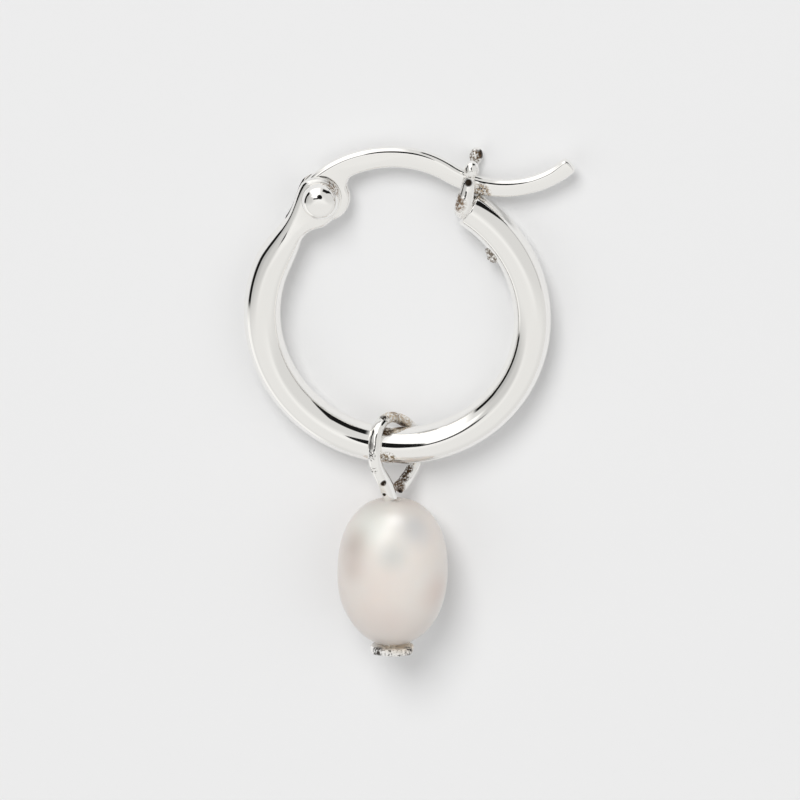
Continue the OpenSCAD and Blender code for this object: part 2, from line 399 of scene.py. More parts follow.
pin_silver = silver(
    "turned pin silver", drop_place, 0.08,
    [
        ((0.10, 1.95, 0.20), 1.45, 6500, 0.58, (0.62, 0.52, 0.40), 0.05),
        ((-0.28, 2.05, 0.21), 0.34, 9000, 0.54, brown, 0.04),
        # Dark brown on the loop's inner side near its top
        ((0.25, 1.02, 0.05), 0.58, 8000, 0.80, (0.16, 0.10, 0.06), 0.02),
        ((-1.19, 1.97, 0.10), 0.24, 8000, 0.62, soot_and_dark_reflection, 0.05),
        # Grey on the loop's outer left side: painted shade
        ((-2.16, 0.54, -0.01), 0.27, 500, 1.0, (0.42, 0.41, 0.40), 0.01),
        ((-2.15, -0.06, 0.06), 0.30, 9500, 0.52, soot_and_dark_reflection, 0.03),
        ((-1.97, -0.86, 0.06), 0.28, 9500, 0.50, (0.12, 0.11, 0.10), 0.03),
        ((-1.24, -1.63, 0.20), 0.22, 5000, 0.75, soot_and_dark_reflection, 0.04),
        ((-0.99, -2.33, 0.07), 0.13, 4000, 0.95, soot_and_dark_reflection, 0.02),
        # Dark brown on the inner side of the loop's right limb: painted dark reflection
        ((0.98, -1.18, 0.06), 0.42, 9000, 0.61, (0.08, 0.05, 0.028), 0.05),
        ((0.66, -1.62, 0.05), 0.42, 9000, 0.60, (0.08, 0.05, 0.028), 0.05),
        ((0.26, -2.10, 0.00), 0.50, 9000, 0.62, (0.14, 0.085, 0.045), 0.04),
        ((0.50, -2.36, 0.05), 0.20, 4000, 0.90, soot_and_dark_reflection, 0.02),
    ],
)
# The head is only part metallic, so the tan painted on it is lit as a dull colour
head_metallic = 0.45
head_silver = silver(
    "flattened head silver", drop_place, 0.10,
    [
        # Tan over the head's upper face and rim: painted reflection of the pearl, with dirt
        ((-0.08, -9.90, 0.35), 1.75, 500, 1.0, (0.90, 0.78, 0.62), 0.02),
        ((-0.08, -10.8, 0.5), 1.60, 9000, 0.44, brown, 0.05),
        ((-1.22, -11.10, -0.14), 0.40, 8000, 0.60, soot_and_dark_reflection, 0.05),
        ((-0.06, -11.05, 1.15), 0.42, 8000, 0.58, soot_and_dark_reflection, 0.05),
        ((-0.98, -11.28, 0.70), 0.80, 9000, 0.48, soot_and_dark_reflection, 0.05),
    ],
    metallic=head_metallic,
)

# %% [markdown]
# Nacre is thin clear layers over a pale body. Thin layers of glass could give the play of colour, but
# on a small pearl it is broad and faint. So the body is a creamy pink with soft patches that lean to
# grey and brown and one greenish patch of painted highlight tint, light goes a little way in, and a coat on
# top gives the soft highlight.
# %% Nacre
# Middle of each patch of tone on the pearl, how far it reaches, and its colour; the first is a painted tint
# round the highlight
nacre_tones_and_highlight = [
    # Greenish neutral round the highlight: painted tint of the soft highlight
    ((-2.17, -3.95, 0.19), 2.80, (0.70, 0.70, 0.655)),
    ((-2.65, -5.11, -0.72), 1.60, (0.57, 0.505, 0.46)),
    ((-2.91, -6.15, -0.57), 1.30, (0.64, 0.57, 0.525)),
    ((-0.77, -4.04, 1.99), 1.60, (0.58, 0.57, 0.56)),
    ((-2.20, -5.30, 1.62), 1.30, (0.60, 0.59, 0.56)),
    ((0.19, -7.50, 2.79), 1.60, (0.67, 0.58, 0.53)),
    ((-2.06, -9.01, 1.28), 1.50, (0.69, 0.62, 0.575)),
]


def nacre():
    """Pale body colour from a soft noise and a few patches of tone, one a painted highlight tint, light under
    the skin, and a soft coat.
    """
    material = bpy.data.materials.new("pink cream nacre")
    material.use_nodes = True
    tree = material.node_tree
    shader = tree.nodes["Principled BSDF"]
    spot = add(tree, "ShaderNodeTexCoord").outputs["Object"]
    cloud = add(tree, "ShaderNodeTexNoise", Vector=spot, Scale=260.0, Detail=1.5)
    tint = add(tree, "ShaderNodeValToRGB", Fac=cloud.outputs["Fac"])
    tint.color_ramp.elements[0].position = 0.35
    tint.color_ramp.elements[0].color = (0.71, 0.635, 0.585, 1)
    tint.color_ramp.elements[1].position = 0.65
    tint.color_ramp.elements[1].color = (0.72, 0.68, 0.635, 1)
    colour_out = tint.outputs["Color"]
    for where, reach, shade in nacre_tones_and_highlight:
        patch = add(
            tree, "ShaderNodeGroup", {"node_tree": wear_and_painted_light},
            Place=drop_place @ Vector(where), Reach=reach * MM, Grain=300.0, Amount=1.0, Core=0.0,
        )
        colour_out = blend(tree, "RGBA", patch.outputs["Mask"], colour_out, (*shade, 1))
    feed(tree, shader.inputs["Base Color"], colour_out)
    shader.inputs["Roughness"].default_value = 0.38
    shader.inputs["Subsurface Weight"].default_value = 0.40
    shader.inputs["Subsurface Radius"].default_value = (1.0, 0.8, 0.65)
    shader.inputs["Subsurface Scale"].default_value = 0.0008
    shader.inputs["Coat Weight"].default_value = 1.0
    shader.inputs["Coat IOR"].default_value = 1.65
    shader.inputs["Coat Roughness"].default_value = 0.42
    return material


pearl_nacre = nacre()
print("finishes:", [material.name for material in bpy.data.materials])


# %% Putting a piece in its place
def dress(piece, place, body, node, finish, crease=40):
    """Takes a piece from its drawing frame to the table, smooths it, gives it its finish, hangs it on its
    body and hides the named imported part.
    """
    piece.data.transform(place)
    piece.data.shade_smooth()
    piece.data.set_sharp_from_angle(angle=math.radians(crease))
    piece.data.materials.clear()
    piece.data.materials.append(finish)
    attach(piece, body)
    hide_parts(node)
    print(piece.name, len(piece.data.polygons), "faces")


# %% [markdown]
# ## The hoop's tube and fork
# The tube is bent into most of a ring, and its left end is pressed flat and slotted. A ring and a flat
# plate could be joined, but a seam would break the reflections where round tube turns into flat fork,
# so both are one skin. A line runs along the middle of the tube and on to the middle of the fork.
# Across it stands an outline with its own half width on each side, half height and squareness. At the
# fork's end the two halves of the outline fan out until they meet, which draws the round end.
# %% Middle line and measures of the fork
end_angle = 58.4
fork_start = 150.0
fork_end = rivet_at + (-0.05, 0.05)
fork_heading = math.radians(55.6)
end_round = 0.16
arc_rows = 360
fork_rows = 56
fan_rows = 22
hoop_ring = 96

# Distance before the fork's middle, outer half width, inner half width, half height, squareness, bevel
fork_table = np.array([
    (-5.20, 1.00, 1.00, 1.00, 2.0, 1.00),
    (-4.60, 0.985, 1.00, 1.00, 2.0, 1.00),
    (-3.90, 0.91, 0.96, 0.98, 2.0, 1.00),
    (-3.27, 0.82, 0.86, 0.94, 2.2, 1.00),
    (-2.60, 0.74, 0.70, 0.88, 2.6, 1.00),
    (-2.20, 0.73, 0.71, 0.85, 3.0, 1.00),
    (-1.80, 0.76, 0.84, 0.82, 3.5, 1.00),
    (-1.28, 0.88, 1.20, 0.80, 3.9, 1.00),
    (-0.75, 1.04, 1.35, 0.80, 4.1, 0.99),
    (-0.34, 1.15, 1.33, 0.80, 4.1, 0.985),
    (0.00, 1.19, 1.28, 0.80, 4.3, 0.985),
])
# Angle of the fan, outer radius, inner radius, squareness, bevel
fan_table = np.array([
    (0, 1.19, 1.28, 4.3, 0.985),
    (45, 1.06, 1.15, 6.5, 1.00),
    (90, 1.07, 1.07, 8.0, 1.00),
])


# %% The tube's skin
def tube_skin():
    """Rows of M + |x| w D, with z = h y, along the middle line M. The outline (x, y) has
    |x|^n + |y|^n = 1, w is the half width of the side that the point lies on, and D points to that side.
    On the outer side w|x| + h|y| also stays below its greatest value times the bevel."""
    start = math.radians(360 + end_angle)
    stop = math.radians(fork_start)
    q = np.radians(np.linspace(0, 90, 9))
    rounding = start - end_round * (1 - np.cos(q)) / hoop_r
    arc = np.linspace(rounding[-1], stop, arc_rows)[1:]
    angle = np.concatenate([[start], rounding, arc])
    size = np.concatenate([[0], 1 - end_round / tube_r * (1 - np.sin(q)), np.ones(len(arc))])
    middle = hoop_r * np.stack([np.cos(angle), np.sin(angle)], -1)
    ahead = np.stack([np.sin(angle), -np.cos(angle)], -1)

    t = np.linspace(0, 1, fork_rows)[1:, None]
    begin, begin_way = middle[-1], ahead[-1]
    end_way = np.array([math.cos(fork_heading), math.sin(fork_heading)])
    span = np.linalg.norm(fork_end - begin)
    fork = (
        (1 + 2 * t) * (1 - t) ** 2 * begin + t * (1 - t) ** 2 * span * begin_way
        + t**2 * (3 - 2 * t) * fork_end + t**2 * (t - 1) * span * end_way
    )
    fork_way = unit(np.gradient(fork, axis=0))
    fan = np.linspace(0, 90, fan_rows)[1:]

    middle = np.concatenate([middle, fork, np.repeat(fork_end[None], len(fan), 0)])
    ahead = np.concatenate([ahead, fork_way, np.repeat(fork_way[-1:], len(fan), 0)])
    size = np.concatenate([size, np.ones(len(fork) + len(fan))])
    before = distances(middle[::-1])[::-1]
    swing = np.concatenate([np.zeros(len(middle) - len(fan)), fan])
    measure = flow(fork_table[:, 0], fork_table[:, 1:], -before)
    fanned = flow(fan_table[:, 0], fan_table[:, 1:], swing)
    on_fan = (swing > 0)[:, None]
    wide = np.where(on_fan, fanned[:, :2], measure[:, :2]) * size[:, None]
    high = measure[:, 2:3] * size[:, None]
    square, bevel = np.split(np.where(on_fan, fanned[:, 2:], measure[:, 3:]), 2, 1)

    turn = 2 * np.pi * np.arange(hoop_ring) / hoop_ring
    c, s = np.cos(turn)[None], np.sin(turn)[None]
    reach = (np.abs(c) ** square + np.abs(s) ** square) ** (-1 / square)
    power = square / (square - 1)
    corner = bevel * (wide[:, :1] ** power + high**power) ** (1 / power)
    flat_cut = corner / (wide[:, :1] * np.abs(c) + high * np.abs(s) + 1e-9)
    reach = np.where(c > 0, np.minimum(reach, np.where(size[:, None] < 1, reach, flat_cut)), reach)
    x, y = reach * c, reach * s
    beta = np.radians(swing)[:, None]
    out = np.stack([-ahead[:, 1], ahead[:, 0]], -1)
    way_out = np.cos(beta) * out + np.sin(beta) * ahead
    way_in = -np.cos(beta) * out + np.sin(beta) * ahead
    flat = middle[:, None] + np.where(
        (x > 0)[..., None],
        (x * wide[:, :1])[..., None] * way_out[:, None],
        (-x * wide[:, 1:])[..., None] * way_in[:, None],
    )
    return np.concatenate([flat, (y * high)[..., None]], -1)


tube = skin("hoop_tube_and_fork", tube_skin())

# %% The slot and the bore
slot_r = 2.30
slot_half = 0.37
bore_r = 0.46
cut(tube, round_bar(slot_r, -slot_half, slot_half, rivet_at))
cut(tube, round_bar(bore_r, -1.2, 1.2, rivet_at))
dress(tube, hoop_place, "hoop", "hoop", tube_silver, crease=32)

# %% [markdown]
# ## The ear wire
# The ear wire is stamped from flat stock: its face is flat, its edges are rounded, and a round eye at
# its root turns on the rivet. A box could be bent along a curve, but the eye would then need a join.
# So one outline of arcs goes round the whole wire and is stepped inwards along a quarter of an ellipse
# at the front and at the back, which rounds the edges and leaves the faces flat.
# %% The ear wire's outline
wire_t = 0.64
crown_at = np.array([-0.10, 3.10])
crown_in = 5.34
turn_angle = 59.7
sweep_r = 5.50
sweep_angle = 73.0
turn_w, tip_w = 1.04, 0.94
taper_share = 0.6
eye_angle = 136.4
eye_r = 1.36
fillet_r = 0.55
tip_square = 3.4
fine_from = 0.85
edge_in, edge_down = 0.30, 0.25
tip_edge, tip_fade = 0.15, 1.3
eye_bore_r = 0.50
# Angle round the arch and radius of its outer edge, from the turn to the eye
crown_table = np.array([
    (turn_angle, crown_in + turn_w), (75, 6.47), (92, 6.475), (115, 6.55), (eye_angle, 6.585),
])
crown_r = crown_in + turn_w / 2


def polar(radius, angle):
    """Points at a radius and an angle in degrees: (r cos a, r sin a)."""
    angle = np.radians(angle)
    return np.stack([radius * np.cos(angle), radius * np.sin(angle)], -1)


def meet(a, ra, b, rb):
    """The point at distance ra from a and rb from b that lies to the left of the way from a to b."""
    way = b - a
    d = np.linalg.norm(way)
    way = way / d
    run = (ra**2 - rb**2 + d**2) / (2 * d)
    return a + run * way + math.sqrt(ra**2 - run**2) * np.array([-way[1], way[0]])


def bearing(middle, point):
    """The angle in degrees at which a point lies from a middle."""
    return math.degrees(math.atan2(point[1] - middle[1], point[0] - middle[0]))


def sweep_edge(side, t):
    """The upward sweep's edge. Near the tip the half width falls as (1 - u^n)^(1/n), a square round."""
    middle = crown_at + (crown_r + sweep_r) * polar(1, turn_angle)
    wide = turn_w + (tip_w - turn_w) * np.minimum(1, t / taper_share)
    tip_start = 1 - tip_w / 2 / (sweep_r * math.radians(sweep_angle))
    u = np.clip((t - tip_start) / (1 - tip_start), 0, 1)
    wide = wide * (1 - u**tip_square) ** (1 / tip_square)
    return middle + polar(sweep_r - side * wide / 2, turn_angle + 180 + sweep_angle * t)


# %% Stepping the outline inwards
def ear_wire_outline():
    """Upper edge, tip, lower edge, fillet and eye, one after the other, clockwise round the wire."""
    eye_at = crown_at + polar(crown_table[-1, 1] - eye_r, eye_angle)
    fillet_at = meet(eye_at, eye_r + fillet_r, crown_at, crown_in - fillet_r)
    corner = bearing(crown_at, fillet_at)
    touch = bearing(eye_at, fillet_at)
    near_tip = 1 - (1 - np.linspace(0, 1, 90)) ** 2
    t = np.concatenate([np.linspace(0, fine_from, 90)[:-1], fine_from + (1 - fine_from) * near_tip])
    angle = np.linspace(eye_angle, turn_angle, 120)
    upper = crown_at + polar(flow(*crown_table.T, angle), angle)
    lower = crown_at + polar(crown_in, np.linspace(turn_angle, corner, 100))
    fillet = fillet_at + polar(fillet_r, np.linspace(corner, touch + 180, 30))
    eye = eye_at + polar(eye_r, np.linspace(touch, eye_angle - 360, 130))
    print("eye middle", eye_at.round(3), "fillet", fillet_at.round(3), round(corner, 1), round(touch, 1))
    return np.concatenate([
        upper[:-1], sweep_edge(1, t)[:-1], sweep_edge(-1, t[::-1])[:-1], lower[:-1], fillet[:-1], eye[:-1],
    ])


def round_edged(outline, thick, edge, drop):
    """Rows of the outline moved inwards by e (1 - cos q) at height t/2 - d (1 - sin q), front and back.
    Near the tip, where the outline turns sharply, e is smaller."""
    tip = outline[outline[:, 0].argmax()]
    from_tip = np.linalg.norm(outline - tip, axis=1)
    edge = tip_edge + (edge - tip_edge) * np.clip(from_tip / tip_fade, 0, 1) ** 2
    along = unit(np.roll(outline, -1, 0) - np.roll(outline, 1, 0))
    outward = np.stack([-along[:, 1], along[:, 0]], -1)
    q = np.radians(np.linspace(90, 0, 13))
    inset = 1 - np.cos(q)
    height = thick / 2 - drop * (1 - np.sin(q))
    inset = np.concatenate([inset, inset[::-1]])
    height = np.concatenate([height, -height[::-1]])
    flat = outline[None] - (inset[:, None] * edge)[..., None] * outward[None]
    return np.concatenate([flat, np.broadcast_to(height[:, None, None], (*flat.shape[:2], 1))], -1)


ear_wire = skin("stamped_ear_wire", round_edged(ear_wire_outline(), wire_t, edge_in, edge_down), caps=True)
cut(ear_wire, round_bar(eye_bore_r, -1, 1, rivet_at))
dress(ear_wire, hoop_place, "ear_wire", "ear_wire", wire_silver, crease=32)

# %% [markdown]
# ## The rivet
# A pin goes through both cheeks and the eye, and its ends are hammered round. The front head is nearly
# half a ball and the back head is flatter. Two squashed balls and a bar could be joined, but one
# profile, spun round the pin's axis, draws all of it without a seam.
# %% The rivet's profile
pin_r = 0.45
dome_r = 1.00
dome_power = 2.6
cheek_face = 0.81
front_h, back_h = 0.90, 0.42
front_aside = (0.03, -0.09)


def cap(radius, height, count=40):
    """A rounded head from rim to top: (x / radius)^p + (z / height)^p = 1."""
    q = np.linspace(0, np.pi / 2, count)
    return np.stack([
        radius * np.cos(q).clip(0) ** (2 / dome_power),
        height * np.sin(q) ** (2 / dome_power),
    ], -1)


front = cap(dome_r, front_h) + (0, cheek_face)
back = (cap(dome_r, back_h) + (0, cheek_face))[::-1] * (1, -1)
rivet_profile = np.concatenate([back, [(pin_r, -cheek_face), (pin_r, cheek_face)], front])
rivet_skin = spin(rivet_profile, 96) + np.array([*rivet_at, 0])
rivet_skin[-len(front):, :, :2] += front_aside
rivet = skin("domed_rivet", rivet_skin)
dress(rivet, hoop_place, "hoop", "rivet", rivet_silver, crease=32)

# %% [markdown]
# ## The catch
# A short wire is bent into a U and soldered across the end of the tube. Each prong ends in a small
# egg-shaped ball, and the ear wire snaps down between them. Balls could be set on a bent bar, but on
# the real catch they are melted wire. So one circle is carried along the whole U: its radius swells
# into the balls at both ends and narrows just below them.
# %% The catch's path, each prong with its side of the drawing plane
prong_z = {1: 0.83, -1: 0.72}
ball_z = {1: 0.81, -1: 0.69}
ball_at = {1: (4.05, 8.62), -1: (4.20, 8.95)}
ball_r = {1: 0.39, -1: 0.35}
ball_long = 0.50
knee_at = (3.86, 7.55)
foot_at = (3.66, 6.62)
foot_in = 0.02
yoke_at = (3.60, 6.24)
yoke_z, yoke_sag = 0.50, 0.06
catch_side = (0.95, -0.31, 0)
# Distance from the ball's tip and radius of the wire there
prong_table = np.array([(0.0, 0.10), (0.75, 0.23), (0.98, 0.24), (1.30, 0.36), (1.60, 0.39), (9.0, 0.39)])


def catch_skin():
    """A circle carried along the U. Near each end its radius is that of an egg, b sqrt(1 - (s/a - 1)^2)."""
    rise = np.array([*ball_at[1], 0]) - (*knee_at, 0)
    rise *= ball_long / np.linalg.norm(rise)
    half = {
        side: [
            (ball_at[side][0] + rise[0], ball_at[side][1] + rise[1], side * ball_z[side]),
            (*ball_at[side], side * ball_z[side]),
            (*knee_at, side * prong_z[side]),
            (*foot_at, side * (prong_z[side] - foot_in)),
            (*yoke_at, side * yoke_z),
        ]
        for side in (1, -1)
    }
    points = half[1] + [(yoke_at[0], yoke_at[1] - yoke_sag, 0)] + half[-1][::-1]
    knots = distances(points)
    reach = knots[-1]
    near = ball_long * (1 - np.cos(np.linspace(0, np.pi, 40)))
    at = np.concatenate([near, np.linspace(near[-1], reach - near[-1], 200)[1:-1], reach - near[::-1]])
    path = flow(knots, points, at)
    from_end = np.minimum(at, reach - at)
    size = np.where(at < reach / 2, ball_r[1], ball_r[-1])
    egg = size * np.sqrt(np.clip(1 - (from_end / ball_long - 1) ** 2, 0, None))
    shaft = flow(*prong_table.T, from_end) * (from_end > ball_long)
    return carry(path, np.maximum(egg, shaft), catch_side)


catch = skin("pronged_catch", catch_skin())
dress(catch, hoop_place, "hoop", "hoop", catch_silver)


# %% Solder
solder_waves = (0.9, 0.35)


def solder(name, at, half_sizes, turn, rough, seed):
    """A lump of solder: a ball with three half sizes, pushed in and out by long and short soft waves."""
    q = np.linspace(-np.pi / 2, np.pi / 2, 60)
    ball = spin(np.stack([np.cos(q), np.sin(q)], -1), 90)
    long_wave, short_wave = (ripple(ball, wave, seed + i) for i, wave in enumerate(solder_waves))
    ball = ball * (1 + rough * long_wave + 0.5 * rough * short_wave)[..., None]
    spun = ball * np.array(half_sizes) @ np.array(Matrix.Rotation(math.radians(turn), 3, "Z")).T
    lump = skin(name, spun + np.array(at))
    dress(lump, hoop_place, "hoop", "hoop", catch_silver)


solder("catch_solder", (3.80, 6.20, 0.0), (0.40, 0.66, 0.80), -38, 0.10, 3)
lump_angle = 35.4
lump_at = polar(hoop_r - tube_r + 0.05, lump_angle)
solder("solder_lump", (*lump_at, 0.05), (0.36, 0.52, 0.46), lump_angle, 0.14, 8)

# %% [markdown]
# ## The head pin
# One wire does two jobs. Its flat head keeps the pearl on, and above the pearl the wire is turned round
# pliers into a loop that goes round the tube. A ring and a bar could stand for it, but the loop isn't
# a true circle: its left side runs straight down into the neck, its end was cut off beside the neck,
# and the pliers left flats and dents. So the path goes through listed points.
# %% The head pin's path
# From the cut end, up the far side, over the top and down into the neck
loop_path = [
    (0.34, -2.17), (0.67, -2.02), (1.09, -1.71), (1.47, -1.34), (1.80, -0.85), (1.92, -0.20), (1.80, 0.43),
    (1.44, 0.96), (0.90, 1.38), (0.18, 1.72), (-0.46, 1.86), (-0.93, 1.79), (-1.36, 1.55), (-1.64, 1.18),
    (-1.77, 0.60), (-1.82, 0.10), (-1.74, -0.38), (-1.52, -0.82), (-1.20, -1.27), (-0.88, -1.70),
    (-0.61, -2.12), (-0.42, -2.55), (-0.29, -3.00), (-0.22, -3.50),
]
shank_x = -0.22
head_top = -drop_l - pearl_l * 0.497 - 0.26
loop_share = 0.62
# Past limb_start the far limb rises by limb_lift over limb_run
limb_start, limb_run, limb_lift = 1.1, 0.8, 0.08
dent_depth, dent_wave, dent_fade = 0.10, 0.50, 0.3
# Distance past the loop's end and how much wider the pliers pressed the wire there
flat_table = np.array([
    (-11.0, 1.0), (-3.6, 1.0), (-2.5, 1.22), (-1.4, 1.34), (-0.4, 1.26), (0.6, 1.0), (9.0, 1.0),
])


def pin_skin():
    """A smooth path round the loop and a straight run to the head, as one wire. Where the pliers pressed
    it, it is wider by w and thinner by the root of w, and waves dent it by (1 - depth * wave)."""
    bent = through(loop_path, 340)
    run = np.linspace(loop_path[-1][1], head_top - 0.1, 50)[1:]
    path = np.concatenate([bent, np.stack([0 * run + shank_x, run], -1)])
    lift = limb_lift * np.clip(path[:, :1] - limb_start, 0, limb_run) / limb_run
    path = np.concatenate([path, lift], -1)
    wire = carry(path, wire_r, (0, 0, 1))
    middle = path[:, None]
    far = distances(path)
    spread = flow(*flat_table.T, far - far[len(bent) - 1])[:, None, None]
    wire = middle + (wire - middle) * np.concatenate([spread, spread, 1 / np.sqrt(spread)], -1)
    marks = 1 - np.linspace(0, 1, len(path)) / loop_share
    marks = np.clip(marks, 0, dent_fade)[:, None, None] / dent_fade
    dented = 1 - marks * dent_depth * np.clip(ripple(wire, dent_wave, 5), 0, 1)[..., None]
    return middle + (wire - middle) * dented


pin = skin("turned_loop_pin", pin_skin(), caps=True)
dress(pin, drop_place, "hoop", "head_pin", pin_silver)


# %% The flat head
head_x = -0.08
head_r = 1.18
head_t = 0.42
head_rim = 0.10
hammer_depth, hammer_wave = 0.02, 0.7


def flat_head():
    """A disc whose rim is a quarter circle above and below, hammered uneven mostly along its axis."""
    q = np.radians(np.linspace(0, 90, 8))
    low, high = head_top - head_t, head_top
    side = head_r - head_rim + head_rim * np.cos(q)
    lower = np.stack([side[::-1], low + head_rim - head_rim * np.sin(q[::-1])], -1)
    upper = np.stack([side, high - head_rim + head_rim * np.sin(q)], -1)
    fill = np.linspace(0, head_r - head_rim, 14)[1:-1]
    profile = np.concatenate([
        [(0, low)], np.stack([fill, low + 0 * fill], -1), lower,
        upper, np.stack([fill[::-1], high + 0 * fill], -1), [(0, high)],
    ])
    disc = spin(profile, 120)[..., [0, 2, 1]] + (head_x, 0, 0)
    return disc + hammer_depth * ripple(disc, hammer_wave, 21)[..., None] * (0.2, 1, 0.2)


head = skin("pin_head", flat_head())
dress(head, drop_place, "hoop", "head_pin", head_silver)

# %% [markdown]
# ## The pearl
# A freshwater pearl is nearly, but never quite, a body of revolution. A stretched ball could stand for
# it, but its side is a rounded curve that is fuller than an ellipse, and it is a little wider than it
# is high. Long, soft waves are added, because they bend the highlight as on the real pearl. The
# drilled hole is part of the same skin.
# %% The pearl's skin
top_share = 0.503
top_power, foot_power, foot_stretch = 2.25, 2.10, 1.04
pearl_wide = 1.033
drill_r = 0.42
drill_x = -0.22
pearl_aside = (-0.03, -0.05)
pearl_low = 0.08
base_r = 0.8
# Length, height and seed of each soft wave
pearl_waves = ((5.2, 0.03, 12), (2.6, 0.010, 4))


def pearl_skin():
    """Above the widest place (r/R)^p + (u/top)^p = 1, and below it the same with its own power and run.
    The profile goes from the hole's upper edge down to its lower edge and back up the hole. Seen as it
    lies, the body is pressed to the pearl's radius in height and stretched sideways. Points near the
    axis move with the hole, and those farther out with the pearl."""
    top = pearl_l * top_share
    foot = pearl_l - top
    a = np.radians(np.linspace(86, 0, 70))
    upper = np.stack([pearl_r * np.cos(a) ** (2 / top_power), top * np.sin(a) ** (2 / top_power)], -1)
    u = foot * np.sin(np.radians(np.linspace(0, 90, 60)))[1:]
    lower = np.stack([
        pearl_r * (1 - (u / (foot * foot_stretch)) ** foot_power) ** (1 / foot_power), -u,
    ], -1)
    upper = upper[upper[:, 0] > drill_r + 0.08]
    rim = np.array([(drill_r, upper[0, 1] - 0.10), (drill_r + 0.02, upper[0, 1] - 0.03)])
    base = np.array([(base_r, -foot), (drill_r + 0.1, -foot), (drill_r, -foot + 0.1)])
    hole = np.stack([np.full(12, drill_r), np.linspace(-foot + 0.1, rim[0, 1], 14)[1:-1]], -1)
    body = spin(np.concatenate([rim, upper, lower, base, hole]), 160)
    outside = np.clip(np.hypot(body[..., 0], body[..., 1]) / pearl_r - 0.25, 0, 1)[..., None]
    wave = sum(ripple(body, length, seed)[..., None] * height for length, height, seed in pearl_waves)
    body = body * (1 + outside * wave / pearl_r * (1, 1, 0.4))
    body = np.stack([body[..., 0], body[..., 2], -body[..., 1]], -1)
    upward = np.array([-math.sin(loop_roll), 0, math.cos(loop_roll)])
    sideways = np.array([math.cos(loop_roll), 0, math.sin(loop_roll)])
    high = (body @ upward)[..., None]
    body = body - upward * high * (1 - pearl_r / np.abs(high).max())
    body = body + sideways * (body @ sideways)[..., None] * (pearl_wide - 1)
    centred = np.clip(1.4 - np.hypot(body[..., 0], body[..., 2]), 0, 1)[..., None]
    hole_at, middle_at = np.array([drill_x, 0, 0]), np.array([pearl_aside[0], 0, pearl_aside[1]])
    return body + centred * hole_at + (1 - centred) * middle_at - (0, drop_l + pearl_low, 0)


pearl = skin("drilled_pearl", pearl_skin(), wrap_rows=True)
dress(pearl, drop_place, "hoop", "pearl", pearl_nacre, crease=50)

# %% [markdown]
# ## The table
# The table is plain, pale and dull. One large sheet would do for the shadows, but polished metal
# would mirror it as a wide grey floor. So only the sheet under the earring is seen in the metal, and
# the four sheets round it are left out of reflections.
# %% The table
def sheet(name, low, high):
    """A flat rectangle on the table between two corners."""
    mesh = bpy.data.meshes.new(name)
    (x0, y0), (x1, y1) = low, high
    mesh.from_pydata([(x0, y0, 0), (x1, y0, 0), (x1, y1, 0), (x0, y1, 0)], [], [(0, 1, 2, 3)])
    piece = bpy.data.objects.new(name, mesh)
    bpy.context.scene.collection.objects.link(piece)
    piece.data.materials.append(paper)
    return piece


paper = bpy.data.materials.new("pale paper")
paper.use_nodes = True
paper_shader = paper.node_tree.nodes["Principled BSDF"]
paper_shader.inputs["Base Color"].default_value = (0.80, 0.80, 0.80, 1)
paper_shader.inputs["Roughness"].default_value = 1.0
paper_shader.inputs["Specular IOR Level"].default_value = 0.0

# Half the middle sheet's side and half the whole table's, in metres
near, far = 0.022, 1.2
sheet("table_middle", (-near, -near), (near, near))
around = {
    "left": ((-far, -far), (-near, far)),
    "right": ((near, -far), (far, far)),
    "back": ((-near, near), (near, far)),
    "front": ((-near, -far), (near, -near)),
}
for side, corners in around.items():
    sheet(f"table_{side}", *corners).visible_glossy = False
print("sheets that the metal doesn't show:", list(around))

# %% [markdown]
# ## The studio
# A mirror shows what is round it, so the room matters as much as the metal. White walls and black
# cards could be built as objects, but they would get in the way of the camera from other sides. So the
# studio is drawn as the sky, which only mirrors see in full: a white tent, brighter overhead and on
# the upper left, with narrow black cards low down all round it, a thin black bar and the round opening
# for the lens. The cards' edges are what draws the thin black lines along the tube.
# %% The window group
span_names = ("From First", "To First", "From Second", "To Second")


def window_group():
    """A soft-edged window: 1 where two values lie inside their spans, else 0."""
    group, source, result = new_group(
        "studio window",
        [(label, "NodeSocketFloat", 0.0) for label in ("First", "Second", *span_names)]
        + [("Softness", "NodeSocketFloat", 1.0)],
        [("Mask", "NodeSocketFloat")],
    )
    given = source.outputs
    mask = None
    for label in ("First", "Second"):
        above = calc(group, "SUBTRACT", given[label], given[f"From {label}"])
        below = calc(group, "SUBTRACT", given[f"To {label}"], given[label])
        for gap in (above, below):
            share = calc(group, "DIVIDE", gap, given["Softness"])
            ease = add(group, "ShaderNodeMapRange", smooth, Value=share, From_Min=-1.0, From_Max=1.0)
            inside = ease.outputs["Result"]
            mask = inside if mask is None else calc(group, "MULTIPLY", mask, inside)
    group.links.new(mask, result.inputs["Mask"])
    return group


studio_window = window_group()
print("window group nodes:", len(studio_window.nodes))

